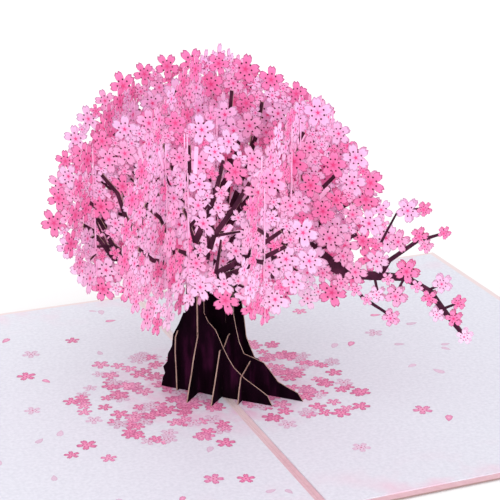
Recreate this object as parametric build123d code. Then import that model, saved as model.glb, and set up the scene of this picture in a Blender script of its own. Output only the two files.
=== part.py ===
from build123d import *

import os
from math import cos, hypot, pi, radians, sin

# Pop-up card with a blossoming cherry tree, opened flat. A folded cover carries two liner panels. On them
# stands a tree of interlocking paper slices, a sliceform: the "cross" slices run right and forward, the
# "back" slices run right and backward, both at 45 degrees to the fold. Each cross slice is slit from below
# and each back slice from above, so that they slot into each other.
#
# Millimetres. +Z is up, +Y runs along the fold, and the origin lies on the table under the middle of the
# fold. A slice is drawn flat in its own plane, with u along its run and z up, and then stood on the card.

# Card: a five by seven inch card, lying open
PANEL_WIDTH = 127.0  # fold to side edge
FOLD_LENGTH = 178.0
COVER_SHEET = 0.5
LINER_SHEET = 0.4
LINER_MARGIN = 2.5  # rim of the cover that shows round the liners
SPINE_STRIP = 3.0  # strip of the cover that shows between the liners
CREASE_WIDTH = 0.8
CREASE_DEPTH = 0.2

# Sliceform lattice
SLICE_SHEET = 0.4
SLOT_PLAY = 0.05  # clearance on each side of a sheet in its slot
PITCH = 7.0
CROWN_SLOT_FOOT = 24.0  # slots for slices without a trunk start here, under the hem and over the roots
ROOT_SLOT_MEET = 4.0  # height where the slots meet at the low root slices
TAB_WIDTH = 3.5

# Crown: places of the blossom centres on the outline of the middle slices
CROWN_REACH = 56.2
CROWN_WIDEST = 60.0  # here the slots of two crossing slices meet, too
CROWN_TOP = 108.7
CROWN_HEM = 21.3  # bottom of the bowl that the hem follows
CROWN_ARCH = 44.0  # the hem rises to this height at the trunk
CROWN_TILT = 3.0  # and by this much towards the right and back ends
CROWN_ROUND = 49.0  # distance from the middle at which a slice's crown would be half as big
TOP_POINT = 1.25  # powers that shape the outline: a round top is 1, a pointed one more
BOWL_ROUND = 2.5
ARCH_NARROW = 4
INNER_SHARE = 0.74  # crowns of the slices close beside the middle ones

# Blossom: five petals, each with a blunt tip
BLOSSOM_RADIUS = 4.4
BLOSSOM_STEP = 8.7
BLOSSOM_SPREAD = 0.14  # how much the sizes differ, in waves along the edge
BLOSSOM_WAVE = 2.4
BLOSSOM_SET = 0.35  # how deep a blossom sits in the sheet's edge, as a share of its radius
PETALS = 5
PETAL_VALLEY = 0.5  # radius between two petals, as a share
PETAL_TIP_TURN = 19.0  # degrees from the petal's middle to each corner of its tip
GOLDEN_TURN = 137.5  # degrees from one blossom to the next, so that no two neighbours look alike

# Gaps between the sprays of blossom, in a column wherever two slots leave room for one
GAP_RADIUS = 4.0
GAP_WEB = 1.6  # least paper left between a gap and a slot
GAP_RISES = (-7.0, 22.0)  # heights of the gaps over the crown's widest place, in a full crown

# Trunk: its left and right side in each slice that has it, from the tip of the root up to the neck. A point
# gives the place along the slice and the height over the liner. The neck goes straight on into the crown.
FRONT_TRUNK = (
    (
        (-16.8, 0.0), (-16.2, 3.2), (-15.4, 4.9), (-16.0, 7.1), (-14.5, 9.1), (-14.2, 11.9),
        (-12.7, 14.9), (-12.2, 19.1), (-10.1, 23.1), (-8.2, 27.7), (-7.4, 33.0),
    ),
    (
        (22.4, 0.0), (20.8, 3.2), (18.2, 4.8), (12.6, 8.0), (9.2, 10.9), (7.1, 14.0),
        (5.4, 17.2), (4.2, 19.9), (2.8, 22.9), (0.2, 25.4), (-1.2, 28.1),
    ),
)  # fmt: skip
MIDDLE_TRUNK = (
    ((-16.1, 0.0), (-14.8, 4.2), (-12.2, 8.5), (-10.9, 13.0), (-8.8, 18.5), (-7.4, 23.0), (-5.8, 29.0)),
    (
        (30.2, 0.0), (28.4, 2.6), (25.0, 3.9), (21.5, 5.4), (19.1, 8.3), (16.6, 11.1), (13.1, 12.2),
        (9.6, 13.1), (7.9, 16.9), (6.8, 21.6), (5.8, 27.0),
    ),
)  # fmt: skip
REAR_TRUNK = (
    ((-16.1, 0.0), (-14.2, 4.0), (-12.4, 9.0), (-10.2, 13.5), (-8.9, 19.0), (-7.0, 24.0), (-5.8, 29.0)),
    ((17.5, 0.0), (14.6, 3.0), (11.4, 7.0), (9.3, 11.5), (7.4, 16.0), (6.7, 22.0), (5.8, 28.0)),
)
LONG_TRUNK = (
    ((-15.9, 0.0), (-14.3, 4.0), (-12.2, 8.4), (-10.9, 12.0), (-9.0, 16.0), (-5.6, 22.6), (-5.8, 28.0)),
    ((15.0, 0.0), (12.8, 4.0), (10.3, 8.5), (9.0, 13.0), (7.2, 19.0), (6.3, 25.0), (5.8, 29.0)),
)

# Low root slices: outline from the front foot over the top to the back foot, told in the same way
LEFT_ROOT = (
    (-8.6, 0.0), (-8.9, 8.0), (-9.4, 14.0), (-9.0, 19.0), (-6.5, 21.4), (0.0, 15.5), (7.0, 8.5), (13.3, 0.0),
)  # fmt: skip
MIDDLE_ROOT = (
    (-15.2, 0.0), (-12.3, 6.4), (-10.2, 11.4), (-8.1, 16.5), (-4.7, 16.5), (-1.6, 19.1), (3.3, 20.3),
    (6.0, 19.1), (9.5, 15.5), (12.5, 8.5), (15.0, 0.0),
)  # fmt: skip
RIGHT_ROOT = (
    (-10.4, 0.0), (-9.4, 4.2), (-7.9, 8.4), (-4.0, 9.6), (-0.4, 11.0), (2.0, 11.6), (6.0, 9.4), (10.0, 5.0),
    (14.0, 0.0),
)  # fmt: skip

# Boughs that reach out of the crown on the middle cross slice. A point gives the place along the slice, the
# height over the table and the width, and a blossom its place, height and radius.
BOUGHS = (
    (
        (24.0, 58.0, 5.4), (37.7, 49.9, 4.6), (43.5, 47.0, 3.6), (51.6, 47.2, 2.6), (62.7, 48.2, 2.0),
        (70.7, 44.8, 1.8), (76.1, 38.5, 1.4), (81.6, 32.6, 1.0),
    ),
    ((54.8, 47.6, 1.7), (57.6, 53.0, 1.4), (66.0, 60.3, 1.2), (73.8, 63.8, 0.7)),
    ((52.0, 52.0, 1.0), (56.7, 62.6, 0.7), (59.3, 68.1, 0.6), (66.0, 70.6, 0.5)),
    ((43.5, 46.5, 1.4), (49.4, 39.6, 1.0), (58.4, 35.2, 0.7)),
    ((53.0, 47.0, 0.8), (54.1, 42.4, 0.6)),
    ((62.5, 48.0, 0.8), (60.2, 43.0, 0.6)),
    ((70.0, 45.2, 0.8), (74.5, 48.0, 0.6)),
    ((75.0, 40.0, 0.8), (79.6, 42.6, 0.6)),
)  # fmt: skip
BOUGH_BLOSSOMS = (
    (53.8, 52.4, 3.9), (63.4, 50.5, 4.0), (60.2, 42.1, 3.7), (70.8, 43.0, 2.8), (74.5, 48.2, 3.2),
    (73.4, 38.2, 2.6), (78.6, 37.6, 2.8), (79.8, 42.8, 2.3), (82.2, 32.4, 2.6), (60.4, 59.6, 3.6),
    (66.9, 62.2, 2.8), (68.8, 59.4, 2.4), (74.4, 64.2, 2.0), (63.1, 69.8, 3.9), (68.0, 70.8, 2.3),
    (54.1, 41.6, 2.9), (58.8, 34.6, 2.9),
)  # fmt: skip

# Slices: the place in pitches from the middle of the card, the share of a full crown, and the trunk
CROSS_SLICES = (
    (-4, 1.0, None),
    (-1, INNER_SHARE, FRONT_TRUNK),
    (0, 1.0, MIDDLE_TRUNK),
    (1, INNER_SHARE, REAR_TRUNK),
    (4, 1.0, None),
)
BACK_SLICES = ((-4, 1.0, None), (-0.5, 1.0, LONG_TRUNK), (0.5, INNER_SHARE, None), (4, 1.0, None))
ROOT_SLICES = ((-1.5, LEFT_ROOT), (0.67, MIDDLE_ROOT), (1.7, RIGHT_ROOT))

DECK = COVER_SHEET + LINER_SHEET  # the slices stand on this height
SLOT_WIDTH = SLICE_SHEET + 2 * SLOT_PLAY
RUN_CROSS = Vector(1, -1, 0).normalized()
RUN_BACK = Vector(1, 1, 0).normalized()
UP = Vector(0, 0, 1)
SKY = 2 * CROWN_TOP  # a height above everything


def crown_curve(share, size):
    """Point of the crown's outline: over the top for shares up to a half, then back along the hem."""
    turn = 2 * pi * share
    across = cos(turn)
    if share <= 0.5:
        rise = (CROWN_TOP - CROWN_WIDEST) * sin(turn) ** TOP_POINT
    else:
        bowl = (CROWN_WIDEST - CROWN_HEM) * (1 - abs(across) ** BOWL_ROUND)
        arch = (CROWN_ARCH - CROWN_HEM) * (1 - across**2) ** ARCH_NARROW
        rise = arch - bowl + CROWN_TILT * across * sin(turn) ** 2
    return CROWN_REACH * size * across, CROWN_WIDEST + rise * size


def even_points(curve, step, fine=480):
    """Points at even distances of about one step along a closed curve."""
    dense = [curve(i / fine) for i in range(fine + 1)]
    run = [0.0]
    for (u0, z0), (u1, z1) in zip(dense, dense[1:]):
        run.append(run[-1] + hypot(u1 - u0, z1 - z0))
    count = round(run[-1] / step)
    points, i = [], 0
    for k in range(count):
        goal = run[-1] * k / count
        while run[i + 1] < goal:
            i += 1
        part = (goal - run[i]) / (run[i + 1] - run[i])
        (u0, z0), (u1, z1) = dense[i], dense[i + 1]
        points.append((u0 + part * (u1 - u0), z0 + part * (z1 - z0)))
    return points


def blossom(centre, radius, turn):
    """Outline of one five-petalled blossom."""
    points = []
    for petal in range(PETALS):
        middle = turn + 360 / PETALS * petal
        for angle, share in (
            (middle - 180 / PETALS, PETAL_VALLEY),
            (middle - PETAL_TIP_TURN, 1.0),
            (middle + PETAL_TIP_TURN, 1.0),
        ):
            reach = radius * share
            turned = radians(angle)
            points.append((centre[0] + reach * cos(turned), centre[1] + reach * sin(turned)))
    return Polygon(*points, align=None)


def limb(points):
    """Strip along a line of points, each with the strip's width."""
    left, right = [], []
    for i, (u, z, width) in enumerate(points):
        (u0, z0, _), (u1, z1, _) = points[max(i - 1, 0)], points[min(i + 1, len(points) - 1)]
        half = width / 2 / hypot(u1 - u0, z1 - z0)
        side_u, side_z = -(z1 - z0) * half, (u1 - u0) * half
        left.append((u + side_u, z + side_z))
        right.append((u - side_u, z - side_z))
    return Polygon(*right, *reversed(left), align=None)


def crown_size(place, share):
    """Size of a slice's crown, which gets smaller away from the middle of the card."""
    return share / (1 + (place * PITCH / CROWN_ROUND) ** 2)


def crown(size, phase):
    """Crown of one slice: a sheet whose edge is a wreath of blossoms."""
    centres = even_points(lambda share: crown_curve(share, size), BLOSSOM_STEP)
    swell = 1 + BLOSSOM_SET * BLOSSOM_RADIUS / (CROWN_REACH * size)
    edge = [(swell * u, CROWN_WIDEST + swell * (z - CROWN_WIDEST)) for u, z in centres]
    wreath = []
    for k, centre in enumerate(centres):
        radius = BLOSSOM_RADIUS * (1 + BLOSSOM_SPREAD * sin(BLOSSOM_WAVE * k + phase))
        wreath.append(blossom(centre, radius, GOLDEN_TURN * (k + phase)))
    return Polygon(*edge, align=None) + wreath


def crown_gaps(size, phase, slots):
    """Five-cornered gaps in the crown, swaying to the left and right between their slots."""
    gaps = []
    for left, right in zip(slots, slots[1:]):
        sway = (right - left - SLOT_WIDTH) / 2 - GAP_WEB - GAP_RADIUS
        if sway < 0:
            continue
        for k, rise in enumerate(GAP_RISES):
            turn = GOLDEN_TURN * (k + phase)
            u = (left + right) / 2 + sway * sin(radians(turn))
            gap = RegularPolygon(GAP_RADIUS, PETALS, rotation=turn)
            gaps.append(Pos(u, CROWN_WIDEST + rise * size) * gap)
    return gaps


def trunk(left, right):
    """Trunk of one slice: from the roots on both sides up to a head inside the crown."""
    head = [(right[-1][0], CROWN_WIDEST), (left[-1][0], CROWN_WIDEST)]
    return Polygon(*on_liner(right), *head, *on_liner(reversed(left)), align=None)


def on_liner(points):
    """Points whose heights are told over the liner."""
    return [(u, DECK + height) for u, height in points]


def slot(u, low, high):
    """Slit for a crossing sheet."""
    return Pos(u, (low + high) / 2) * Rectangle(SLOT_WIDTH, high - low)


def tab(u):
    """Glue tab that goes down through the liner onto the cover."""
    return Pos(u, COVER_SHEET + LINER_SHEET / 2) * Rectangle(TAB_WIDTH, LINER_SHEET)


def stand(sketch, run, across, place):
    """A flat slice, stood upright on its line of the lattice. Petals that a slot cuts loose fall away."""
    normal = run.cross(UP)
    plane = Plane(across * place * PITCH - normal * (SLICE_SHEET / 2), x_dir=run, z_dir=normal)
    sheet = max(sketch.faces(), key=lambda face: face.area)
    return extrude(plane * sheet, SLICE_SHEET)


def tab_places(run, across, place, steps, sides):
    """Places along a slice where a tab fits on its root and clear of the spine strip."""
    found = []
    left, right = (side[0][0] for side in sides)
    for step in steps:
        u = step * PITCH
        x = (run * u + across * place * PITCH).X
        on_root = left + TAB_WIDTH < u < right - TAB_WIDTH
        if on_root and abs(x) > SPINE_STRIP / 2 + TAB_WIDTH:
            found.append(u)
    return found


def boughs():
    """Long bough with its twigs and blossoms."""
    shapes = [limb(points) for points in BOUGHS]
    for k, (u, z, radius) in enumerate(BOUGH_BLOSSOMS):
        shapes.append(blossom((u, z), radius, GOLDEN_TURN * k))
    return shapes


def cross_slice(k, place, share, sides):
    """Slice that faces the front: slit from below."""
    size = crown_size(place, share)
    sketch = crown(size, k)
    if place == 0:
        sketch += boughs()
    tabs = []
    if sides:
        tabs = tab_places(RUN_CROSS, RUN_BACK, place, (-1, 1), sides)
        sketch += [trunk(*sides), *(tab(u) for u in tabs)]
    cuts = [slot(at * PITCH, 0, ROOT_SLOT_MEET + SLOT_PLAY) for at, _ in ROOT_SLICES]
    for at, _, back_sides in BACK_SLICES:
        cuts.append(slot(at * PITCH, 0 if back_sides else CROWN_SLOT_FOOT, CROWN_WIDEST + SLOT_PLAY))
    cuts += crown_gaps(size, k, [at * PITCH for at, _, _ in BACK_SLICES])
    return stand(sketch - cuts, RUN_CROSS, RUN_BACK, place), tabs


def back_slice(k, place, share, sides):
    """Slice that runs to the back: slit from above."""
    size, phase = crown_size(place, share), k + 0.5
    sketch = crown(size, phase)
    tabs = []
    if sides:
        tabs = tab_places(RUN_BACK, RUN_CROSS, place, (-1.5, 1.5), sides)
        sketch += [trunk(*sides), *(tab(u) for u in tabs)]
    crossings = [at * PITCH for at, _, _ in CROSS_SLICES]
    cuts = [slot(u, CROWN_WIDEST - SLOT_PLAY, SKY) for u in crossings]
    return stand(sketch - cuts - crown_gaps(size, phase, crossings), RUN_BACK, RUN_CROSS, place), tabs


def root_slice(place, outline):
    """Low buttress in the trunk, slit from above."""
    sheet = Polygon(*on_liner(reversed(outline)), align=None)
    slots = [slot(at * PITCH, ROOT_SLOT_MEET - SLOT_PLAY, SKY) for at, _, sides in CROSS_SLICES if sides]
    return stand(sheet - slots, RUN_BACK, RUN_CROSS, place)


def cover():
    """Outer card: one sheet, scored along the fold on its inside."""
    sheet = Pos(0, 0, COVER_SHEET / 2) * Box(2 * PANEL_WIDTH, FOLD_LENGTH, COVER_SHEET)
    half, bottom = CREASE_WIDTH / 2, COVER_SHEET - CREASE_DEPTH
    score = Polygon((-half, COVER_SHEET), (0, bottom), (half, COVER_SHEET), align=None)
    return sheet - extrude(Plane.XZ * score, FOLD_LENGTH, both=True)


def liner(side, slits):
    """Printed panel glued into one half of the cover, with slits for the tabs of the slices."""
    width = PANEL_WIDTH - LINER_MARGIN - SPINE_STRIP / 2
    middle = side * (SPINE_STRIP + width) / 2
    sheet = Pos(middle, 0, DECK - LINER_SHEET / 2) * Box(width, FOLD_LENGTH - 2 * LINER_MARGIN, LINER_SHEET)
    cuts = []
    for spot, angle in slits:
        if side * spot.X > 0:
            slit = Rot(0, 0, angle) * Box(TAB_WIDTH + 2 * SLOT_PLAY, SLOT_WIDTH, 4 * LINER_SHEET)
            cuts.append(Pos(spot.X, spot.Y, DECK) * slit)
    return sheet - cuts


def main():
    """Makes every piece and writes it to its own file."""
    nodes, slits = {}, []
    for k, (place, *rest) in enumerate(CROSS_SLICES):
        nodes[f"cross_slice_{k + 1}"], tabs = cross_slice(k, place, *rest)
        slits += [(RUN_CROSS * u + RUN_BACK * place * PITCH, -45) for u in tabs]
    for k, (place, *rest) in enumerate(BACK_SLICES):
        nodes[f"back_slice_{k + 1}"], tabs = back_slice(k, place, *rest)
        slits += [(RUN_BACK * u + RUN_CROSS * place * PITCH, 45) for u in tabs]
    for k, (place, outline) in enumerate(ROOT_SLICES):
        nodes[f"root_slice_{k + 1}"] = root_slice(place, outline)
    nodes["cover"] = cover()
    nodes["left_liner"] = liner(-1, slits)
    nodes["right_liner"] = liner(1, slits)
    os.makedirs("parts", exist_ok=True)
    for name, solid in nodes.items():
        export_step(solid, f"parts/{name}.step")


main()
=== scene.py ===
"""Dresses the opened pop-up card: cut and printed blossoms on every slice, bark, and printed liners.

Metres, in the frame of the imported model. A slice is dressed in its own plane, with u along its run and
z up, both in millimetres until a mesh is made. The crown's outline repeats the formulas of the part's
source.
"""

import math
import random

import bmesh
import bpy
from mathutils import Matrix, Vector, noise
from mathutils.bvhtree import BVHTree


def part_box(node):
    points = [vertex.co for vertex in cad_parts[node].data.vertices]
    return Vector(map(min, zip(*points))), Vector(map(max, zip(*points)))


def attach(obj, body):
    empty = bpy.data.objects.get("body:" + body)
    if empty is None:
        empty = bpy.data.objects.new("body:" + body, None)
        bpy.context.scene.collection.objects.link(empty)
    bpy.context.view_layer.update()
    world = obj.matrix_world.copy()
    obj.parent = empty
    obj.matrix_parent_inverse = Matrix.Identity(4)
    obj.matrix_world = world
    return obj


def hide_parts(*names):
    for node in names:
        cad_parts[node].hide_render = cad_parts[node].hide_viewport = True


MM = 0.001
RUN_CROSS = Vector((1, -1, 0)).normalized()
RUN_BACK = Vector((1, 1, 0)).normalized()
UP = Vector((0, 0, 1))

# Sizes that the part's source gives, in millimetres
PITCH = 7.0
DECK = 0.9  # height of the liners' upper face
SLOT = 0.5
CROWN_REACH = 56.2
CROWN_WIDEST = 60.0
CROWN_TOP = 108.7
CROWN_HEM = 21.3
CROWN_ARCH = 44.0
CROWN_TILT = 3.0
CROWN_ROUND = 49.0  # distance from the middle at which a slice's crown would be half as big
TOP_POINT = 1.25  # powers that shape the outline
BOWL_ROUND = 2.5
ARCH_NARROW = 4
INNER_SHARE = 0.74  # crowns of the slices close beside the middle ones
BLOSSOM_RADIUS = 4.4
BLOSSOM_STEP = 8.7
BLOSSOM_SPREAD = 0.14
BLOSSOM_WAVE = 2.4
GOLDEN_TURN = 137.5  # degrees from one blossom to the next
CURVE_STEPS = 480  # short straight steps that an outline is measured in

# Slices: place in pitches, share of the full crown, ends of the trunk's neck if it has one, and the place
# and paint of the strip that closes a slot where it would show in the neck
NECK = (-5.8, 5.8)
FRONT_NECK = (-7.4, -1.2)
CROSS_SLICES = (
    (-4, 1.0, None, None),
    (-1, INNER_SHARE, FRONT_NECK, (-0.5, "edge")),
    (0, 1.0, NECK, (0.5, "bark")),
    (1, INNER_SHARE, NECK, (0.5, "bark")),
    (4, 1.0, None, None),
)
BACK_SLICES = (
    (-4, 1.0, None, None),
    (-0.5, 1.0, NECK, None),
    (0.5, INNER_SHARE, None, None),
    (4, 1.0, None, None),
)
ROOT_SLICES = ("root_slice_1", "root_slice_2", "root_slice_3")
CLOSED_HEIGHTS = (22.0, 50.0)  # between these a slot is closed

# Bough to the right: points along it and along its twigs, as (u, z, width)
BOUGHS = (
    (
        (24.0, 58.0, 5.4), (37.7, 49.9, 4.6), (43.5, 47.0, 3.6), (51.6, 47.2, 2.6), (62.7, 48.2, 2.0),
        (70.7, 44.8, 1.8), (76.1, 38.5, 1.4), (81.6, 32.6, 1.0),
    ),
    ((54.8, 47.6, 1.7), (57.6, 53.0, 1.4), (66.0, 60.3, 1.2), (73.8, 63.8, 0.7)),
    ((52.0, 52.0, 1.0), (56.7, 62.6, 0.7), (59.3, 68.1, 0.6), (66.0, 70.6, 0.5)),
    ((43.5, 46.5, 1.4), (49.4, 39.6, 1.0), (58.4, 35.2, 0.7)),
    ((53.0, 47.0, 0.8), (54.1, 42.4, 0.6)),
    ((62.5, 48.0, 0.8), (60.2, 43.0, 0.6)),
    ((70.0, 45.2, 0.8), (74.5, 48.0, 0.6)),
    ((75.0, 40.0, 0.8), (79.6, 42.6, 0.6)),
)  # fmt: skip
# Blossoms on the bough, and those where it leaves the crown, as (u, z, radius)
BOUGH_BLOSSOMS = (
    (53.8, 52.4, 3.9), (63.4, 50.5, 4.0), (60.2, 42.1, 3.7), (70.8, 43.0, 2.8), (74.5, 48.2, 3.2),
    (73.4, 38.2, 2.6), (78.6, 37.6, 2.8), (79.8, 42.8, 2.3), (82.2, 32.4, 2.6), (60.4, 59.6, 3.6),
    (66.9, 62.2, 2.8), (68.8, 59.4, 2.4), (74.4, 64.2, 2.0), (63.1, 69.8, 3.9), (68.0, 70.8, 2.3),
    (54.1, 41.6, 2.9), (58.8, 34.6, 2.9),
)  # fmt: skip
BOUGH_TONES = "lhmhllhhlmhmhlhlm"  # light, middle or hot pink, blossom by blossom
INNER_BLOSSOMS = (
    (47.1, 47.9, 4.1), (43.0, 52.5, 3.6), (57.5, 47.2, 2.2), (66.8, 46.2, 2.2), (36.5, 46.0, 3.4),
    (42.6, 43.6, 3.2), (47.2, 42.2, 2.5), (51.0, 39.4, 2.0),
)  # fmt: skip
BOUGH_THICK = 1.1
BOUGH_TWIG_THICK = 0.5
BOUGH_LIFT = 0.75  # how far its blossoms stand before and behind the middle of their sheet
BOUGH_LIFT_STEP = 0.13  # and how much neighbours differ in that
INNER_LIFT = 0.7

# Blossom: points of one petal, as degrees from its middle and shares of the radius
PETALS = 5
PETAL_TURN = 360 / PETALS
PETAL = (
    (-36, 0.38), (-27, 0.64), (-19, 0.86), (-7, 1.0), (0, 0.87), (7, 1.0), (19, 0.86), (27, 0.64),
)  # fmt: skip
SMALL_PETAL = ((-36, 0.38), (-21, 0.8), (-7, 1.0), (0, 0.86), (7, 1.0), (21, 0.8))
SMALL_RADIUS = 3  # up to this radius a blossom has small petals
PLATE = 0.22  # thickness of a blossom
LIFT = 0.45  # how far blossoms stand before or behind the middle of their sheet
LEAN = 0.05  # slope by which a blossom leans out of its sheet
PRINT_RISE = 0.03  # how far dots and heart stand out of a blossom
DOTS = 8
DOT_CORNERS = 5
DOT_TURN = 0.3  # share of a step by which the dots are turned
DOT_RING = 0.42  # this and the next two are shares of the blossom's radius
DOT_RADIUS = 0.07
HEART_RADIUS = 0.15
HEART_WAIST = 0.5  # share of the heart's radius between its points

# Tones of the blossoms in a crown, as limits on a random value that heights and drifts shift
LIGHT_LIMIT = 0.5
MIDDLE_LIMIT = 0.74
TONE_MARGIN = 0.1  # share of a tone's range that is left free at both ends
TONE_HEIGHT = 0.066  # metres; blossoms below this grow lighter
TONE_FALL_BELOW = 6.0  # change for each metre of height
TONE_FALL_ABOVE = 0.5
DRIFT_SHARE = 0.12
DRIFT_WAVES = 55  # for each metre
TOP_HEAT = 0.15  # blossoms on the crown's edge are hotter, over its widest place
HEM_HEAT = 0.3  # and under its arch

# Blossoms inside a crown, in passes: least distance between two, least and greatest radius, tries
FILL_PASSES = ((5.5, 3.6, 5.0, 3000), (4.0, 2.1, 3.0, 6000))
CELL = 6  # width of a cell in the grid that finds near blossoms, over any least distance
NECK_SHOWS = 6  # the neck shows from this far under the arch
BARE_SHARE = 0.6  # share of its radius that a blossom keeps from a bare stretch
HOLD_SHARE = 0.75  # share of its radius at which a blossom needs paper behind it
HOLD_CORNERS = 8  # points that are tried there
HOLD_LEAST = 7  # and how many of them need it
PROBE = 5  # how far from a sheet the ray starts that finds its paper

# Branches inside a crown
LIMB_ENDS = (0.01, 0.07, 0.13, 0.19, 0.25, 0.31, 0.37, 0.43, 0.49)  # shares of the way round the outline
LIMB_STRAY = 0.02  # how far an end may stray from that share
LIMB_REACH = 0.84  # share of the crown's size
LIMB_DROP = 5  # how far under the arch they start
LIMB_POINTS = 6
LIMB_HIDDEN = 2  # points that a sheet without a trunk leaves out
LIMB_SWAY = 2.2  # most in the middle of a branch
SWAY_TURN = 3.1  # radians of the sine that the sway follows
LIMB_SAG = 0.16  # four times the share of its reach to the side by which a branch sags
LIMB_WIDTH = 2.9  # at the foot
LIMB_TAPER = 1.8  # how much of it is gone at the tip
TAPER_CURVE = 0.8
LIMB_THICK = 0.3
TWIG_STARTS = (2, 3)  # points of a branch
TWIG_TURN = (0.4, 0.8)  # radians
TWIG_REACH = (7, 13)
TWIG_SHARE = 0.6  # of the branch's width
TWIG_TIP = 0.6
BARE_CHANCES = (0.0, 0.3, 0.7, 0.85)  # how often a stretch stays bare, from the trunk outwards

# Pale straps between the blossoms, and strips beside the slots
STRAPS = 26
STRAP_REACH = 0.6  # share of the crown's reach
STRAP_UNDER_TOP = 25
STRAP_TURN = 0.35  # radians
STRAP_LENGTH = (5, 9)
STRAP_WIDTH = 1.3
STRAP_THICK = 0.2
STRAP_LIFT = 0.1
STRIP_SIDES = (-0.45, 0.45)  # from the middle of the slot
STRIP_STEP = 4
STRIP_WIDTH = 0.35
STRIP_LIFT = 0.3
STRIP_CHANCE = 0.6
STRIP_OVER_ARCH = 6  # where they start over a trunk
STRIP_UNDER_ARCH = 10  # and elsewhere
STRIP_UNDER_TOP = 14
NEAR_TRUNK = 10  # a strip this near the middle is over the trunk

# Trunk, cut from the solid
TRUNK_HEM = 28.0  # all is kept below this
TRUNK_LAP = 3  # how far it goes into the crown
NECK_MARGIN = 0.3  # kept on each side of the neck
FACING = 0.7  # least cosine between a sheet's normal and those of its printed faces

# Print on the liners, and the seeds of its random places
LINER_SEEDS = (("left_liner", 11), ("right_liner", 23))
PRINT_MARGIN = 3.6  # bare edge
LAYER = 0.01  # height of one printed layer over another
FALLEN_PETAL = (
    (0, 0), (0.35, -0.2), (0.75, -0.27), (1, -0.1), (0.93, 0), (1, 0.1), (0.75, 0.27), (0.35, 0.2),
)  # fmt: skip
FALLEN_MIDDLE = 0.6  # share of its length
CARPET_TRIES = 300
CARPET_START = 5  # distance from the middle of the card
CARPET_DEPTH = 35
CARPET_CROWDING = 1.1  # over 1, blossoms crowd towards the trunk
CARPET_WIDEN = 1.15  # across the fold
CARPET_SHIFT = 4  # towards the front
FAR_TRIES = 30
FAR_REACH = (40, 72)
FALLEN_RADIUS = (2.3, 3.5)
FALLEN_HEAT = 0.7  # under 1, more of them are hot pink
LOOSE_TRIES = 60
LOOSE_REACH = (25, 90)
LOOSE_GAP = 5
LOOSE_LENGTH = (3, 5)
LOOSE_TURN = 6  # radians
LOOSE_TONE = 0.5

# Finishes: heights and distances in metres, grains as waves for each metre and depth
CARD_GRAIN = (2500.0, 0.00005)
PRINT_GRAIN = (2500.0, 0.00004)
PAPER_GRAIN = (1800.0, 0.00004)
GRAIN_STRENGTH = 0.35
FADE_HEIGHTS = (0.028, 0.055)  # the light tone fades between these, downwards
TOP_SHADE_HEIGHTS = (0.05, 0.12)  # and a painted shade, darker and more lilac, grows between these, upwards
# share of that painted shade at the top
TOP_SHADE_SHARE = 0.35
SHADES = (0.93, 1.05)  # brightness within one tone
BLUSH_REACH = (0.066, 0.086)  # distances along the fold between which the liners grow pink
CARPET_REACH = (0.02, 0.04)  # distances from the trunk between which the pink round it fades
CARPET_SHARE = 0.8
SHEEN_REACH = (-0.06, 0.0)  # places along the fold between which a painted sheen makes the cover paler
# share of the painted sheen
SHEEN_SHARE = 0.9
EDGE_COSINE = 0.5  # the cover's cut edges face up less than this

# Studio, in metres. Suns: name, spot that it shines from, degrees of spread, power, and whether it casts
# shadows
SUNS = (
    ("key", (-0.3, -0.8, 0.5), 90.0, 1.4, True),
    ("fill", (-0.1, -0.8, 0.4), 60.0, 0.7, False),
    ("side", (0.7, -0.6, 0.15), 60.0, 0.8, False),
    ("back", (0.2, 0.9, 0.02), 10.0, 0.9, False),
)
SKY_POWER = 1.0
FLOOR_REACH = 4.0
FLOOR_DROP = 0.0004  # under the card
# Camera that the photograph's card edges give
EYE = Vector((-0.1642, -0.4397, 0.2169))
GAZE = Vector((0.3493, 0.8738, -0.3384))
FOCAL_PIXELS = 1571.86
IMAGE_PIXELS = 500
SENSOR_WIDTH = 36.0  # millimetres


def srgb(code):
    """Linear colour of a hex code."""
    parts = [int(code[i : i + 2], 16) / 255 for i in (0, 2, 4)]
    return (*(c / 12.92 if c <= 0.04045 else ((c + 0.055) / 1.055) ** 2.4 for c in parts), 1.0)


def add(tree, kind, settings=None, **inputs):
    """Adds a node. An input is given by name, as a value or as the socket that feeds it."""
    made = tree.nodes.new(kind)
    for name, value in (settings or {}).items():
        setattr(made, name, value)
    for name, value in inputs.items():
        put(tree, made, name.replace("_", " "), value)
    return made


def put(tree, made, name, value):
    """Sets or links one input of a node, told by its name or number."""
    socket = made.inputs[int(name)] if name.isdigit() else made.inputs[name]
    if isinstance(value, bpy.types.NodeSocket):
        tree.links.new(value, socket)
    else:
        socket.default_value = value


def material(name, roughness, gloss=0.25):
    """New material, its tree and its shader."""
    made = bpy.data.materials.new(name)
    made.use_nodes = True
    shader = made.node_tree.nodes["Principled BSDF"]
    shader.inputs["Roughness"].default_value = roughness
    shader.inputs["Specular IOR Level"].default_value = gloss
    return made, made.node_tree, shader


def ramp(tree, factor, *stops):
    """Colour ramp over (place, hex code) stops."""
    made = add(tree, "ShaderNodeValToRGB", Fac=factor)
    elements = made.color_ramp.elements
    while len(elements) < len(stops):
        elements.new(0.5)
    for element, (place, code) in zip(elements, stops):
        element.position = place
        element.color = srgb(code)
    return made.outputs["Color"]


def coordinate(tree, axis, kind="Object"):
    """One coordinate of the shaded point in the model's frame, or of its normal."""
    source = add(tree, "ShaderNodeTexCoord").outputs[kind]
    return add(tree, "ShaderNodeSeparateXYZ", Vector=source).outputs[axis]


def noise_of(tree, waves, detail, stretch=(1, 1, 1)):
    """Noise in the model's frame, with that many waves for each metre."""
    source = add(tree, "ShaderNodeTexCoord").outputs["Object"]
    scaled = add(tree, "ShaderNodeMapping", Vector=source, Scale=stretch).outputs["Vector"]
    return add(tree, "ShaderNodeTexNoise", Vector=scaled, Scale=waves, Detail=detail).outputs["Fac"]


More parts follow.
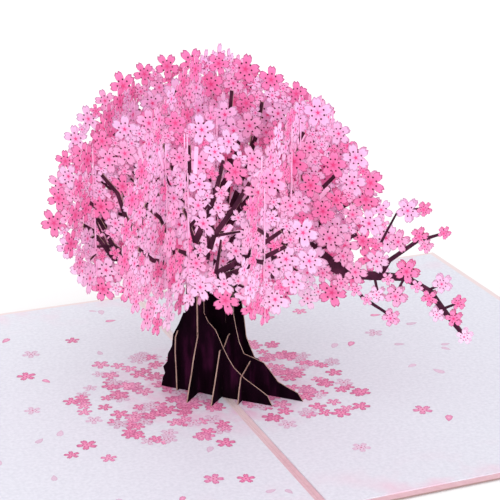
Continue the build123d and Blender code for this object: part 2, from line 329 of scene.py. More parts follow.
def grain(tree, shader, waves, depth):
    """Fine bump, as of paper."""
    height = noise_of(tree, waves, detail=3.0)
    bump = add(tree, "ShaderNodeBump", Height=height, Strength=GRAIN_STRENGTH, Distance=depth)
    tree.links.new(bump.outputs["Normal"], shader.inputs["Normal"])


def spread(tree, value, low, high, to_low=0.0, to_high=1.0):
    """Value mapped from one range to another, and kept inside it."""
    made = add(tree, "ShaderNodeMapRange", Value=value)
    for name, number in zip(("From Min", "From Max", "To Min", "To Max"), (low, high, to_low, to_high)):
        put(tree, made, name, number)
    return made.outputs["Result"]


def sums(tree, operation, *values):
    """Outcome of one sum."""
    made = add(tree, "ShaderNodeMath", {"operation": operation})
    for i, value in enumerate(values):
        put(tree, made, str(i), value)
    return made.outputs["Value"]


def blend(tree, share, under, over, how="MIX"):
    """Two colours, mixed by a share."""
    made = add(tree, "ShaderNodeMix", {"data_type": "RGBA", "blend_type": how})
    for name, value in (("0", share), ("6", under), ("7", over)):
        put(tree, made, name, value)
    return made.outputs[2]


def mottled(name, stops, waves, roughness, stretch=(1, 1, 1), gloss=0.25):
    """Material whose colour wanders between the stops."""
    made, tree, shader = material(name, roughness, gloss)
    colour = ramp(tree, noise_of(tree, waves, detail=4.0, stretch=stretch), *stops)
    tree.links.new(colour, shader.inputs["Base Color"])
    grain(tree, shader, *CARD_GRAIN)
    return made


def printed(name, tones, top_shade, fade=0.0):
    """Blossom print in three tones, with a painted shade that darkens it and makes it more lilac towards
    the top.

    The UV map's x runs from a blossom's heart to its edge, and its y tells the tone.
    """
    made, tree, shader = material(name, roughness=0.6)
    uv = add(tree, "ShaderNodeUVMap", {"uv_map": "blossom"}).outputs["UV"]
    parts = add(tree, "ShaderNodeSeparateXYZ", Vector=uv).outputs
    height = coordinate(tree, "Z")
    light, middle, hot = [ramp(tree, parts["X"], *stops) for stops in tones]
    light = blend(tree, spread(tree, height, *FADE_HEIGHTS, fade, 0.0), light, srgb("f6dcf0"))
    colour = blend(tree, sums(tree, "GREATER_THAN", parts["Y"], 1 / 3), light, middle)
    colour = blend(tree, sums(tree, "GREATER_THAN", parts["Y"], 2 / 3), colour, hot)
    within = sums(tree, "FRACT", sums(tree, "MULTIPLY", parts["Y"], 3.0))
    shade = spread(tree, within, 0.0, 1.0, *SHADES)
    shaded = add(tree, "ShaderNodeHueSaturation", Value=shade, Color=colour).outputs["Color"]
    # painted shade: the print is multiplied by a lilac colour towards the top
    share = spread(tree, height, *TOP_SHADE_HEIGHTS, 0.0, TOP_SHADE_SHARE)
    tree.links.new(blend(tree, share, shaded, srgb(top_shade), "MULTIPLY"), shader.inputs["Base Color"])
    grain(tree, shader, *PRINT_GRAIN)
    return made


def paper(name):
    """Pearly liner paper with fine specks, and a breath of pink round the trunk and at the ends."""
    made, tree, shader = material(name, roughness=0.5)
    base = ramp(tree, noise_of(tree, waves=900.0, detail=4.0), (0.3, "c4c5cf"), (0.7, "d0d1da"))
    ends = spread(tree, sums(tree, "ABSOLUTE", coordinate(tree, "Y")), *BLUSH_REACH)
    blush = sums(tree, "MULTIPLY", ends, spread(tree, noise_of(tree, waves=60.0, detail=3.0), 0.45, 0.7))
    source = add(tree, "ShaderNodeTexCoord").outputs["Object"]
    flat = add(tree, "ShaderNodeMapping", Vector=source, Scale=(1, 1, 0)).outputs["Vector"]
    reach = add(tree, "ShaderNodeVectorMath", {"operation": "LENGTH"}, Vector=flat).outputs["Value"]
    patches = spread(tree, noise_of(tree, waves=160.0, detail=3.0), 0.35, 0.65)
    carpet = sums(tree, "MULTIPLY", patches, spread(tree, reach, *CARPET_REACH, CARPET_SHARE, 0.0))
    blushing = blend(tree, blush, base, srgb("d4b6c6"))
    tree.links.new(blend(tree, carpet, blushing, srgb("d2a0bc")), shader.inputs["Base Color"])
    grain(tree, shader, *PAPER_GRAIN)
    return made


def dyed(name):
    """Salmon card of the cover, paler towards the back by a painted sheen, with cut edges darkened partly
    as the card's own edge and partly as painted shade.
    """
    made, tree, shader = material(name, roughness=0.5)
    base = ramp(tree, noise_of(tree, waves=500.0, detail=4.0), (0.3, "c49da6"), (0.7, "cca9b0"))
    # painted sheen: the cover grows paler towards the back
    sheen_share = spread(tree, coordinate(tree, "Y"), *SHEEN_REACH, 0.0, SHEEN_SHARE)
    pale = blend(tree, sheen_share, base, srgb("d6c8c8"))
    # cut edges darker: partly the card's own edge colour, partly painted shade on the edge
    upward = sums(tree, "ABSOLUTE", coordinate(tree, "Z", "Normal"))
    cut = sums(tree, "LESS_THAN", upward, EDGE_COSINE)
    tree.links.new(blend(tree, cut, pale, srgb("8f7472")), shader.inputs["Base Color"])
    grain(tree, shader, *CARD_GRAIN)
    return made


def bark_print():
    """Dark bark, streaked upwards."""
    tones = ((0.3, "050104"), (0.55, "150410"), (0.75, "360e29"))
    return mottled("bark_print", tones, waves=260.0, roughness=0.8, stretch=(1, 1, 0.25), gloss=0.02)


def crown_finishes(bark, edge):
    """Materials of a crown."""
    limb_tones = ((0.3, "2a0c1f"), (0.7, "4f2039"))
    # each tone's last stop darkens a blossom's rim: partly its dark cut edge, partly painted shadow where
    # blossoms overlap
    tones = (
        ((0.0, "e26ca6"), (0.2, "e494c2"), (0.5, "e6abd1"), (0.86, "e6b7d8"), (1.0, "a8789c")),
        ((0.0, "da5690"), (0.22, "e486b6"), (0.6, "e69bc3"), (0.86, "e7a6ca"), (1.0, "aa5a84")),
        ((0.0, "ca3a76"), (0.3, "e16a9f"), (0.86, "e780b0"), (1.0, "983664")),
    )
    return {
        "petal": printed("petal_print", tones, top_shade="f2e2ff", fade=0.5),
        "dot": mottled("dot_print", ((0.3, "450c28"), (0.7, "621638")), waves=300.0, roughness=0.6),
        "heart": mottled("heart_print", ((0.3, "cc3070"), (0.7, "dd4a84")), waves=300.0, roughness=0.6),
        "rim": mottled("petal_edge", ((0.3, "c884a8"), (0.7, "e8b6d2")), waves=300.0, roughness=0.7),
        "strap": mottled("strap_print", ((0.3, "e6a8d0"), (0.7, "f2c2e2")), waves=200.0, roughness=0.6),
        "limb": mottled("limb_print", limb_tones, waves=260.0, roughness=0.75, gloss=0.1),
        "edge": edge,
        "bark": bark,
    }


def liner_finishes():
    """Materials of the fallen blossoms."""
    tones = (
        ((0.0, "c9a6bf"), (0.5, "cdb6c8"), (1.0, "c09cb6")),
        ((0.0, "e2b0c8"), (0.3, "da92b4"), (0.8, "d37fa6"), (1.0, "b0588a")),
        ((0.0, "dea2be"), (0.3, "d67ca4"), (0.8, "cc6894"), (1.0, "a04676")),
    )
    return {
        "petal": printed("fallen_print", tones, top_shade="ffffff"),
        "dot": mottled("fallen_dot", ((0.3, "8e2a58"), (0.7, "a33766")), waves=300.0, roughness=0.6),
        "heart": mottled("fallen_heart", ((0.3, "a83066"), (0.7, "bb4176")), waves=300.0, roughness=0.6),
    }


class Sheetwork:
    """Collects flat cut-outs in one plane, and makes one mesh of them.

    How far a point stands out of the plane is told by a function of its two coordinates.
    """

    def __init__(self, run, middle, normal, upward=UP):
        self.run = run
        self.middle = middle
        self.normal = normal
        self.upward = upward
        self.corners = []
        self.faces = []
        self.slots = []
        self.map = []

    def at(self, u, z, out):
        """Point in metres that lies at u and z and stands out of the plane."""
        return self.middle + (self.run * u + self.upward * z + self.normal * out) * MM

    def face(self, corners, slot, map_x, tone):
        """One face with its paint, and the place of its corners in the print."""
        self.faces.append(corners)
        self.slots.append(slot)
        self.map += [(x, tone) for x in map_x]

    def fan(self, centre, points, out, slot, tone, back=False):
        """Flat star-shaped face round a centre."""
        first = len(self.corners)
        self.corners.append(self.at(*centre, out(*centre)))
        self.corners += [self.at(u, z, out(u, z)) for u, z in points]
        for i in range(len(points)):
            a = first + 1 + i
            b = first + 1 + (i + 1) % len(points)
            self.face((first, b, a) if back else (first, a, b), slot, (0, 1, 1), tone)

    def wall(self, points, low, high, slot, tone):
        """Edge of a cut-out, between its two faces."""
        first = len(self.corners)
        count = len(points)
        self.corners += [self.at(u, z, low(u, z)) for u, z in points]
        self.corners += [self.at(u, z, high(u, z)) for u, z in points]
        for i in range(count):
            a = first + i
            b = first + (i + 1) % count
            self.face((a, b, b + count, a + count), slot, (1, 1, 1, 1), tone)

    def plate(self, points, out, slot, back=False):
        """Flat face with few corners."""
        first = len(self.corners)
        self.corners += [self.at(u, z, out(u, z)) for u, z in points]
        corners = tuple(range(first, first + len(points)))
        self.face(corners[::-1] if back else corners, slot, (0,) * len(points), 0)

    def blossom(self, u, z, radius, turn, tone, lift, lean=(0, 0), both=True):
        """One blossom with its dots and heart, on both faces unless it lies on something."""
        points = blossom_outline(u, z, radius, turn)
        rise = PRINT_RISE if both else LAYER / 2
        for side in (1, -1) if both else (1,):
            face_at = slope(u, z, lift + side * PLATE / 2, lean)
            print_at = slope(u, z, lift + side * (PLATE / 2 + rise), lean)
            self.fan((u, z), points, face_at, "petal", tone, side < 0)
            for k in range(DOTS):
                a = math.radians(turn + 360 / DOTS * (k + DOT_TURN))
                spot = (u + radius * DOT_RING * math.cos(a), z + radius * DOT_RING * math.sin(a))
                self.plate(ring(spot, radius * DOT_RADIUS, DOT_CORNERS), print_at, "dot", side < 0)
            heart = star((u, z), radius * HEART_RADIUS, turn)
            self.fan((u, z), heart, print_at, "heart", tone, side < 0)
        if both:
            low = slope(u, z, lift - PLATE / 2, lean)
            high = slope(u, z, lift + PLATE / 2, lean)
            self.wall(points, low, high, "rim", tone)

    def petal(self, u, z, size, turn, tone, lift):
        """One fallen petal, lying flat."""
        points = []
        c = math.cos(turn)
        s = math.sin(turn)
        for along, aside in FALLEN_PETAL:
            points.append((u + size * (along * c - aside * s), z + size * (along * s + aside * c)))
        centre = (u + size * FALLEN_MIDDLE * c, z + size * FALLEN_MIDDLE * s)
        self.fan(centre, points, slope(u, z, lift), "petal", tone)

    def limb(self, points, thick, lift, slot="limb", border="edge"):
        """Strip along a line of points, each with the strip's width."""
        left = []
        right = []
        for i, (u, z, width) in enumerate(points):
            u0, z0, _ = points[max(i - 1, 0)]
            u1, z1, _ = points[min(i + 1, len(points) - 1)]
            half = width / 2 / math.hypot(u1 - u0, z1 - z0)
            side_u = -(z1 - z0) * half
            side_z = (u1 - u0) * half
            left.append((u + side_u, z + side_z))
            right.append((u - side_u, z - side_z))
        for side in (1, -1):
            first = len(self.corners)
            for pair in zip(right, left):
                self.corners += [self.at(u, z, lift + side * thick / 2) for u, z in pair]
            for i in range(len(points) - 1):
                a = first + 2 * i
                quad = (a, a + 2, a + 3, a + 1)
                self.face(quad if side > 0 else quad[::-1], slot, (0, 0, 0, 0), 0)
        low = slope(0, 0, lift - thick / 2)
        high = slope(0, 0, lift + thick / 2)
        self.wall(right + left[::-1], low, high, border, 0)

    def make(self, name, paints):
        """The mesh object, riding on the card."""
        mesh = bpy.data.meshes.new(name)
        mesh.from_pydata(self.corners, [], self.faces)
        order = list(paints)
        for paint in order:
            mesh.materials.append(paints[paint])
        mesh.polygons.foreach_set("material_index", [order.index(slot) for slot in self.slots])
        layer = mesh.uv_layers.new(name="blossom")
        layer.data.foreach_set("uv", [value for pair in self.map for value in pair])
        return place(name, mesh)


def slope(u, z, height, lean=(0, 0)):
    """Function that tells how far a cut-out stands out, from its height and lean at a point."""
    return lambda x, y: height + lean[0] * (x - u) + lean[1] * (y - z)


def blossom_outline(u, z, radius, turn):
    """Corners of a blossom."""
    points = []
    for petal in range(PETALS):
        for angle, share in PETAL if radius > SMALL_RADIUS else SMALL_PETAL:
            a = math.radians(turn + PETAL_TURN * petal + angle)
            points.append((u + radius * share * math.cos(a), z + radius * share * math.sin(a)))
    return points


def ring(centre, radius, count):
    """Corners of a small regular polygon."""
    turns = [2 * math.pi * k / count for k in range(count)]
    return [(centre[0] + radius * math.cos(a), centre[1] + radius * math.sin(a)) for a in turns]


def star(centre, radius, turn):
    """Corners of the star at a blossom's heart."""
    points = []
    for k in range(2 * PETALS):
        a = math.radians(turn + 180 / PETALS * k)
        reach = radius if k % 2 == 0 else radius * HEART_WAIST
        points.append((centre[0] + reach * math.cos(a), centre[1] + reach * math.sin(a)))
    return points


def link(made):
    """Puts an object into the scene."""
    bpy.context.scene.collection.objects.link(made)


def place(name, mesh):
    """A mesh as a piece of the card."""
    made = bpy.data.objects.new(name, mesh)
    link(made)
    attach(made, "root")
    return made


def crown_curve(share, size):
    """Point of a crown's outline: over the top for shares up to a half, then back along the hem."""
    turn = 2 * math.pi * share
    across = math.cos(turn)
    if share <= 0.5:
        rise = (CROWN_TOP - CROWN_WIDEST) * max(math.sin(turn), 0) ** TOP_POINT
    else:
        bowl = (CROWN_WIDEST - CROWN_HEM) * (1 - abs(across) ** BOWL_ROUND)
        arch = (CROWN_ARCH - CROWN_HEM) * (1 - across**2) ** ARCH_NARROW
        rise = arch - bowl + CROWN_TILT * across * math.sin(turn) ** 2
    return CROWN_REACH * size * across, CROWN_WIDEST + rise * size


def even_points(curve, step):
    """Points at even distances of about one step along a closed curve."""
    dense = [curve(i / CURVE_STEPS) for i in range(CURVE_STEPS + 1)]
    run = [0.0]
    for (u0, z0), (u1, z1) in zip(dense, dense[1:]):
        run.append(run[-1] + math.hypot(u1 - u0, z1 - z0))
    count = round(run[-1] / step)
    points = []
    i = 0
    for k in range(count):
        goal = run[-1] * k / count
        while run[i + 1] < goal:
            i += 1
        part = (goal - run[i]) / (run[i + 1] - run[i])
        (u0, z0), (u1, z1) = dense[i], dense[i + 1]
        points.append((u0 + part * (u1 - u0), z0 + part * (z1 - z0)))
    return points


def branch(foot, tip, chance):
    """Swaying line from a foot to a tip, thinner towards the tip: points of (u, z, width)."""
    line = []
    for k in range(LIMB_POINTS):
        part = k / (LIMB_POINTS - 1)
        sway = LIMB_SWAY * math.sin(SWAY_TURN * part) * chance.uniform(-1, 1)
        sag = LIMB_SAG * part * (1 - part) * abs(tip[0] - foot[0])
        u = foot[0] + part * (tip[0] - foot[0]) + sway
        z = foot[1] + part * (tip[1] - foot[1]) - sag + sway
        line.append((u, z, LIMB_WIDTH - LIMB_TAPER * part**TAPER_CURVE))
    return line


def twig(start, along, chance):
    """Straight twig that leaves a branch to one side of the way it runs along."""
    u, z, width = start
    turn = along + chance.choice((-1, 1)) * chance.uniform(*TWIG_TURN)
    reach = chance.uniform(*TWIG_REACH)
    tip = (u + reach * math.cos(turn), z + reach * math.sin(turn), TWIG_TIP)
    return [(u, z, width * TWIG_SHARE), tip]


def tone_at(point, chance, heat):
    """Tone of a blossom: light, middle or hot pink in drifts, lighter towards the hem."""
    height = point.z - TONE_HEIGHT
    fall = TONE_FALL_BELOW if height < 0 else TONE_FALL_ABOVE
    value = heat + chance.random() + DRIFT_SHARE * noise.noise(point * DRIFT_WAVES) + fall * height
    return tone_of("l" if value < LIGHT_LIMIT else "m" if value < MIDDLE_LIMIT else "h", chance)


def tone_of(letter, chance):
    """Tone as a number: each of the three takes a third, and varies a little within it."""
    return ("lmh".index(letter) + chance.uniform(TONE_MARGIN, 1 - TONE_MARGIN)) / 3


def edge_heat(z):
    """How much hotter a blossom on the crown's edge is than one inside."""
    if z > CROWN_WIDEST:
        return TOP_HEAT
    return HEM_HEAT if z < CROWN_ARCH else 0.0


def distance(point, segment):
    """Distance of a point from a short straight line, both in a sheet."""
    (u0, z0, *_), (u1, z1, *_) = segment
    along = (point[0] - u0) * (u1 - u0) + (point[1] - z0) * (z1 - z0)
    along = min(max(along / ((u1 - u0) ** 2 + (z1 - z0) ** 2), 0), 1)
    return math.hypot(point[0] - u0 - along * (u1 - u0), point[1] - z0 - along * (z1 - z0))


class Crowd:
    """Points in a grid, to tell quickly whether one is near."""

    def __init__(self):
        self.cells = {}

    def add(self, u, z):
        self.cells.setdefault((u // CELL, z // CELL), []).append((u, z))

    def near(self, u, z, reach):
        """Whether a point lies within reach, which is less than a cell."""
        for i in (-1, 0, 1):
            for j in (-1, 0, 1):
                for a, b in self.cells.get((u // CELL + i, z // CELL + j), ()):
                    if math.hypot(u - a, z - b) < reach:
                        return True
        return False


class Slice:
    """One upright sheet of the tree, and what a row of the tables above tells of it."""

    def __init__(self, name, run, across, phase, pitches, share, neck, slit):
        self.name = name
        self.run = run
        self.phase = phase
        self.pitches = pitches
        self.share = share
        self.neck = neck
        self.slit = slit
        self.normal = run.cross(UP)
        self.middle = across * pitches * PITCH * MM
        self.size = share / (1 + (pitches * PITCH / CROWN_ROUND) ** 2)
        self.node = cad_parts[name]
        self.tree = BVHTree.FromObject(self.node, bpy.context.evaluated_depsgraph_get())

    def holds(self, u, z):
        """Whether the solid sheet has paper at that point."""
        start = self.middle + (self.run * u + UP * z + self.normal * PROBE) * MM
        return self.tree.ray_cast(start, -self.normal, 2 * PROBE * MM)[0] is not None

    def holds_blossom(self, u, z, radius):
        """Whether there is paper behind most of a blossom."""
        border = ring((u, z), radius * HOLD_SHARE, HOLD_CORNERS)
        return self.holds(u, z) and sum(self.holds(*point) for point in border) >= HOLD_LEAST

    def holds_limb(self, line):
        """Whether there is paper behind a branch, which may hang free under the crown's widest place."""
        return all(self.holds(u, z) or z < CROWN_WIDEST for u, z, _ in line)

    def stays_bare(self, u, z, radius, bare):
        """Whether a blossom would hide the neck or a bare stretch of a branch."""
        if self.neck and self.neck[0] - radius < u < self.neck[1] + radius and z < CROWN_ARCH - NECK_SHOWS:
            return True
        return any(distance((u, z), stretch) < radius * BARE_SHARE for stretch in bare)

    def wreath(self):
        """Blossoms on the crown's edge, where the solid has them: (u, z, radius, turn)."""
        found = []
        edge_points = even_points(lambda share: crown_curve(share, self.size), BLOSSOM_STEP)
        for k, (u, z) in enumerate(edge_points):
            radius = BLOSSOM_RADIUS * (1 + BLOSSOM_SPREAD * math.sin(BLOSSOM_WAVE * k + self.phase))
            found.append((u, z, radius, GOLDEN_TURN * (k + self.phase)))
        return found

    def fill(self, wreath, bare, chance):
        """Blossoms inside the crown, big ones first and small ones in what is left."""
        found = []
        crowd = Crowd()
        for u, z, *_ in wreath:
            crowd.add(u, z)
        reach = CROWN_REACH * self.size
        passes = FILL_PASSES if self.share == 1.0 else FILL_PASSES[:1]
        for spacing, least, greatest, tries in passes:
            for _ in range(tries):
                u = chance.uniform(-reach, reach)
                z = chance.uniform(CROWN_HEM, CROWN_TOP)
                if crowd.near(u, z, spacing):
                    continue
                radius = chance.uniform(least, greatest)
                turn = chance.uniform(0, PETAL_TURN)
                if not self.stays_bare(u, z, radius, bare) and self.holds_blossom(u, z, radius):
                    found.append((u, z, radius, turn))
                    crowd.add(u, z)
        return found

    def limbs(self, chance):
        """Branches that fan out from the trunk's head, and their twigs: lines of (u, z, width).

        A sheet without a trunk has only the outer parts of the branches.
        """
        found = []
        foot_u = sum(self.neck) / 2 if self.neck else 0.0
        foot_z = CROWN_WIDEST - (CROWN_WIDEST - CROWN_ARCH + LIMB_DROP) * self.size
        for share in LIMB_ENDS:
            share += chance.uniform(-LIMB_STRAY, LIMB_STRAY)
            tip_u, tip_z = crown_curve(share, self.size * LIMB_REACH)
            line = branch((foot_u, foot_z), (tip_u, tip_z), chance)
            found.append(line if self.neck else line[LIMB_HIDDEN:])
            along = math.atan2(tip_z - foot_z, tip_u - foot_u)
            found += [twig(line[k], along, chance) for k in TWIG_STARTS]
        return found


def bare_stretches(limbs, chance):
    """Stretches of the branches that few blossoms hide."""
    found = []
    for line in limbs:
        stretches = list(zip(line[1:], line[2:]))
        chances = BARE_CHANCES[-len(stretches) :]
        found += [stretch for stretch, share in zip(stretches, chances) if chance.random() < share]
    return found


def dress_crown(sheet, paints):
    """Crown of one slice as a mesh of blossoms, branches and straps."""
    chance = random.Random(sheet.name)
    work = Sheetwork(sheet.run, sheet.middle, sheet.normal)
    limbs = [line for line in sheet.limbs(chance) if sheet.holds_limb(line)]
    for line in limbs:
        work.limb(line, LIMB_THICK, 0)
    bare = bare_stretches(limbs, chance)
    wreath = sheet.wreath()
    filling = sheet.fill(wreath, bare, chance)
    for k, (u, z, radius, turn) in enumerate(wreath + filling):
        lean = (chance.uniform(-LEAN, LEAN), chance.uniform(-LEAN, LEAN))
        heat = edge_heat(z) if k < len(wreath) else 0.0
        tone = tone_at(work.at(u, z, 0), chance, heat)
        work.blossom(u, z, radius, turn, tone, chance.uniform(-LIFT, LIFT), lean)
    if sheet.share == 1.0:
        dress_straps(sheet, work, chance)
    dress_strips(sheet, work, chance)
    if sheet.slit:
        at, paint = sheet.slit
        ends = [(at * PITCH, height, SLOT) for height in CLOSED_HEIGHTS]
        work.limb(ends, LIMB_THICK, 0, paint, paint)
    if sheet.pitches == 0:
        dress_boughs(work, chance)
    made = work.make(sheet.name + "_crown", paints)
    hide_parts(sheet.name)


def dress_straps(sheet, work, chance):
    """Pale straps between the blossoms, pointing outwards."""
    reach = CROWN_REACH * sheet.size
    for _ in range(STRAPS):
        u = chance.uniform(-reach, reach) * STRAP_REACH
        z = chance.uniform(CROWN_ARCH, CROWN_TOP - STRAP_UNDER_TOP)
        turn = math.atan2(z - CROWN_ARCH, u) + chance.uniform(-STRAP_TURN, STRAP_TURN)
        size = chance.uniform(*STRAP_LENGTH)
        tip = (u + size * math.cos(turn), z + size * math.sin(turn), STRAP_WIDTH)
        ends = [(u, z, STRAP_WIDTH), tip]
        if all(sheet.holds(a, b) for a, b, _ in ends):
            work.limb(ends, STRAP_THICK, chance.uniform(-STRAP_LIFT, STRAP_LIFT), "strap", "rim")


def dress_strips(sheet, work, chance):
    """Narrow pale strips along both sides of the slots, broken here and there."""
    crossing = BACK_SLICES if sheet.run is RUN_CROSS else CROSS_SLICES
    for pitches, *_ in crossing:
        for side in STRIP_SIDES:
            u = pitches * PITCH + side
            over_trunk = sheet.neck and abs(u) < NEAR_TRUNK
            low = CROWN_ARCH + STRIP_OVER_ARCH if over_trunk else CROWN_ARCH - STRIP_UNDER_ARCH
            steps = range(round(low), round(CROWN_TOP) - STRIP_UNDER_TOP, STRIP_STEP)
            heights = [z for z in steps if sheet.holds(u, z)]
            for z in heights:
                if z + STRIP_STEP in heights and chance.random() < STRIP_CHANCE:
                    ends = [(u, z, STRIP_WIDTH), (u, z + STRIP_STEP, STRIP_WIDTH)]
                    work.limb(ends, STRAP_THICK, STRIP_LIFT, "strap", "rim")


def dress_boughs(work, chance):
    """Long bough to the right, with its twigs, and blossoms before and behind it."""
    for k, line in enumerate(BOUGHS):
        work.limb(line, BOUGH_THICK if k == 0 else BOUGH_TWIG_THICK, 0, "limb", "limb")
    for k, (u, z, radius) in enumerate(BOUGH_BLOSSOMS):
        before = BOUGH_LIFT + BOUGH_LIFT_STEP * (k % 3)
        behind = -BOUGH_LIFT - BOUGH_LIFT_STEP * (k % 2)
        for lift in (before, behind):
            work.blossom(u, z, radius, GOLDEN_TURN * k, tone_of(BOUGH_TONES[k], chance), lift)
    for k, (u, z, radius) in enumerate(INNER_BLOSSOMS):
        work.blossom(u, z, radius, GOLDEN_TURN * k, tone_of("m", chance), INNER_LIFT)


def cut_trunk(sheet):
    """Solid of a slice without its crown: all that is low, and the neck up to the crown."""
    shape = bmesh.new()
    shape.from_mesh(sheet.node.data)
    head = CROWN_WIDEST - (CROWN_WIDEST - CROWN_ARCH - TRUNK_LAP) * sheet.size
    left = sheet.neck[0] - NECK_MARGIN
    right = sheet.neck[1] + NECK_MARGIN

    def bisect(point, normal, clear=False):
        everything = shape.verts[:] + shape.edges[:] + shape.faces[:]
        bmesh.ops.bisect_plane(shape, geom=everything, plane_co=point, plane_no=normal, clear_outer=clear)

    bisect(UP * head * MM, UP, clear=True)
    bisect(UP * TRUNK_HEM * MM, UP)
    bisect(sheet.middle + sheet.run * left * MM, sheet.run)
    bisect(sheet.middle + sheet.run * right * MM, sheet.run)
    outside = []
    for face in shape.faces:
        centre = face.calc_center_median()
        u = (centre - sheet.middle).dot(sheet.run) / MM
        if centre.z > TRUNK_HEM * MM and not left < u < right:
            outside.append(face)
    bmesh.ops.delete(shape, geom=outside, context="FACES")
    return shape


def dress_trunk(sheet, bark, edge):
    """Trunk and roots of one slice, with bark on their faces and bare card on their edges."""
    mesh = bpy.data.meshes.new(sheet.name + "_trunk")
    shape = cut_trunk(sheet)
    shape.to_mesh(mesh)
    shape.free()
    paint_sheet(mesh, sheet.normal, bark, edge)
    made = place(sheet.name + "_trunk", mesh)
    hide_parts(sheet.name)


def dress_roots(name, bark, edge):
    """Low root slice: the solid with bark on its faces and bare card on its edges."""
    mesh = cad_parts[name].data.copy()
    mesh.materials.clear()
    paint_sheet(mesh, RUN_CROSS, bark, edge)
    made = place(name + "_cut", mesh)
    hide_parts(name)


def paint_sheet(mesh, normal, face_paint, edge_paint):
    """Gives a sheet with that normal one finish on its two faces and another on its edges."""
    mesh.materials.append(face_paint)
    mesh.materials.append(edge_paint)
    for face in mesh.polygons:
        face.material_index = 0 if abs(face.normal.dot(normal)) > FACING else 1


def fallen_spots(chance):
    """Places of fallen blossoms: a carpet round the trunk, and a few further out."""
    spots = []
    for _ in range(CARPET_TRIES):
        reach = CARPET_START + CARPET_DEPTH * chance.random() ** CARPET_CROWDING
        angle = chance.uniform(-math.pi, math.pi)
        spots.append((reach * math.cos(angle) * CARPET_WIDEN, reach * math.sin(angle) - CARPET_SHIFT))
    for _ in range(FAR_TRIES):
        spots.append(random_spot(FAR_REACH, chance))
    return spots


def random_spot(reaches, chance):
    """A place within two distances from the middle of the card."""
    reach = chance.uniform(*reaches)
    angle = chance.uniform(-math.pi, math.pi)
    return reach * math.cos(angle), reach * math.sin(angle)


def print_area(name):
    """Least and greatest x and y of a liner's print, in millimetres."""
    low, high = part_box(name)
    return [(low[axis] / MM + PRINT_MARGIN, high[axis] / MM - PRINT_MARGIN) for axis in (0, 1)]


def dress_liner(name, paints, seed):
    """Fallen blossoms and petals printed on one liner, thickest round the trunk."""
    chance = random.Random(seed)
    (x0, x1), (y0, y1) = print_area(name)
    work = Sheetwork(Vector((1, 0, 0)), Vector((0, 0, 0)), UP, Vector((0, 1, 0)))
    blossoms = []
    for x, y in fallen_spots(chance):
        if x0 < x < x1 and y0 < y < y1:
            radius = chance.uniform(*FALLEN_RADIUS)
            tone = chance.random() ** FALLEN_HEAT
            under = [n for a, b, r, n in blossoms if math.hypot(x - a, y - b) < radius + r]
            layer = max(under, default=0) + 1
            blossoms.append((x, y, radius, layer))
            lift = DECK - PLATE / 2 + LAYER * layer
            work.blossom(x, y, radius, chance.uniform(0, PETAL_TURN), tone, lift, both=False)
    for _ in range(LOOSE_TRIES):
        x, y = random_spot(LOOSE_REACH, chance)
        alone = all(math.hypot(x - a, y - b) > r + LOOSE_GAP for a, b, r, _ in blossoms)
        if x0 < x < x1 and y0 < y < y1 and alone:
            size = chance.uniform(*LOOSE_LENGTH)
            turn = chance.uniform(0, LOOSE_TURN)
            work.petal(x, y, size, turn, chance.uniform(0, LOOSE_TONE), DECK + LAYER)
    made = work.make(name + "_print", paints)


def wear(name, paint):
    """Gives a solid of the frame its finish."""
    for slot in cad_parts[name].material_slots:
        slot.material = paint


def aim(made, spot, gaze):
    """Puts a lamp or camera at a spot, facing along the gaze."""
    made.location = spot
    made.rotation_mode = "QUATERNION"
    made.rotation_quaternion = gaze.to_track_quat("-Z", "Y")
    link(made)


def lay_floor():
    """Pale floor, a little under the card."""
    mesh = bpy.data.meshes.new("floor")
    corners = [(x * FLOOR_REACH, y * FLOOR_REACH, 0) for x, y in ((-1, -1), (1, -1), (1, 1), (-1, 1))]
    mesh.from_pydata(corners, [], [(0, 1, 2, 3)])
    white = mottled("floor_white", ((0.3, "e4e4e4"), (0.7, "e8e8e8")), waves=3.0, roughness=0.8)
    mesh.materials.append(white)
    floor = bpy.data.objects.new("floor", mesh)
    floor.location.z = -FLOOR_DROP
    link(floor)


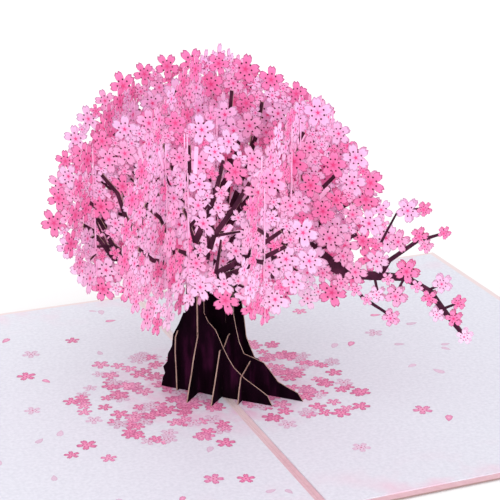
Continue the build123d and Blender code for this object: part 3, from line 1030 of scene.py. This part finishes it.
def light_studio():
    """White sky, and soft suns that shine on the middle of the card."""
    world = bpy.data.worlds.new("studio")
    world.use_nodes = True
    sky = world.node_tree.nodes["Background"]
    sky.inputs["Color"].default_value = (1, 1, 1, 1)
    sky.inputs["Strength"].default_value = SKY_POWER
    bpy.context.scene.world = world
    for name, spot, degrees, power, shadow in SUNS:
        data = bpy.data.lights.new(name, "SUN")
        data.use_shadow = shadow
        data.angle = math.radians(degrees)
        data.energy = power
        aim(bpy.data.objects.new(name, data), spot, -Vector(spot))


def set_camera():
    """The photograph's camera."""
    scene = bpy.context.scene
    scene.view_settings.view_transform = "Standard"
    data = bpy.data.cameras.new("camera")
    data.sensor_width = SENSOR_WIDTH
    data.lens = FOCAL_PIXELS / IMAGE_PIXELS * SENSOR_WIDTH
    camera = bpy.data.objects.new("camera", data)
    aim(camera, EYE, GAZE)
    scene.camera = camera


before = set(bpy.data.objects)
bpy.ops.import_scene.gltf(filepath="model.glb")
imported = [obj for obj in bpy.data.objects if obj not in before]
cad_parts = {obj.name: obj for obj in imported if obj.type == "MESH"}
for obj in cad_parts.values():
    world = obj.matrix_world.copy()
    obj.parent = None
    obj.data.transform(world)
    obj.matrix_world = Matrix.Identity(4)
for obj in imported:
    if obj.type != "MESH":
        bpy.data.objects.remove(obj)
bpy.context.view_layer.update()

bark = bark_print()
edge = mottled("cut_edge", ((0.3, "86685f"), (0.7, "a98c81")), waves=400.0, roughness=0.7)
crown_paints = crown_finishes(bark, edge)
liner_paints = liner_finishes()
pearl = paper("liner_pearl")

slices = []
for k, row in enumerate(CROSS_SLICES):
    slices.append(Slice(f"cross_slice_{k + 1}", RUN_CROSS, RUN_BACK, k, *row))
for k, row in enumerate(BACK_SLICES):
    slices.append(Slice(f"back_slice_{k + 1}", RUN_BACK, RUN_CROSS, k + 0.5, *row))
for sheet in slices:
    dress_crown(sheet, crown_paints)
    if sheet.neck:
        dress_trunk(sheet, bark, edge)
for name in ROOT_SLICES:
    dress_roots(name, bark, edge)
for name, seed in LINER_SEEDS:
    dress_liner(name, liner_paints, seed)
    wear(name, pearl)
wear("cover", dyed("cover_dye"))
lay_floor()
light_studio()
set_camera()
